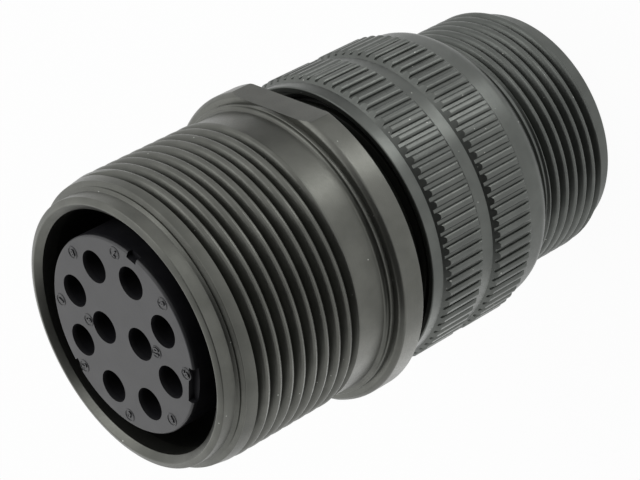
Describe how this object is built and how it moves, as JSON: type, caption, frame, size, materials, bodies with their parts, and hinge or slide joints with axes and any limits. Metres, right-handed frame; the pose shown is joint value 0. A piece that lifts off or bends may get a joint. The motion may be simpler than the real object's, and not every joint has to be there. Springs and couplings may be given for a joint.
{
  "type": "circular connector",
  "caption": "Round threaded cable connector with socket contacts in a black insert, a wrench flange and a knurled screw-on backshell with a cable clamp thread.",
  "frame": {"origin": "centre of the backshell's rear face, on the connector's axis, on the surface it stands on", "axes": "+Z along the connector's axis from the cable end to the mating end; the polarising key lies at 136 degrees clockwise from +X seen from the mating end"},
  "size_m": [0.031, 0.031, 0.0519],
  "materials": {
    "olive_shell": "olive drab conversion coat over plating, satin",
    "olive_backshell": "olive drab conversion coat over plating, satin, slightly greener",
    "black_insert": "moulded, semi-gloss",
    "contact_plating": "turned and plated",
    "hood_steel": "drawn, plain",
    "spring_steel": "plain",
    "washer_steel": "plain"
  },
  "bodies": {
    "backshell": {"backshell": "olive_backshell"},
    "washer": {"slip_washer": "washer_steel"},
    "receptacle": {"receptacle_shell": "olive_shell", "front_insert": "black_insert", "rear_insert": "black_insert", "retaining_ring": "spring_steel", "socket_contact_1": "contact_plating", "socket_contact_2": "contact_plating", "socket_contact_3": "contact_plating", "socket_contact_4": "contact_plating", "socket_contact_5": "contact_plating", "socket_contact_6": "contact_plating", "socket_contact_7": "contact_plating", "socket_contact_8": "contact_plating", "socket_contact_9": "contact_plating", "socket_contact_10": "contact_plating", "contact_hood_1": "hood_steel", "contact_hood_2": "hood_steel", "contact_hood_3": "hood_steel", "contact_hood_4": "hood_steel", "contact_hood_5": "hood_steel", "contact_hood_6": "hood_steel", "contact_hood_7": "hood_steel", "contact_hood_8": "hood_steel", "contact_hood_9": "hood_steel", "contact_hood_10": "hood_steel"}
  },
  "joints": [
    {"name": "shell_travel", "type": "slide", "parent": "backshell", "child": "washer", "axis": [0, 0, 1], "range_m": [0, 0.00509]},
    {"name": "shell_turn", "type": "hinge", "parent": "washer", "child": "receptacle", "pos_m": [0, 0, 0.02], "axis": [0, 0, 1], "range_deg": [0, 1440]}
  ],
  "couplings": [
    {"joint": "shell_travel", "follows": "shell_turn", "m_per_rad": 0.00020213}
  ]
}
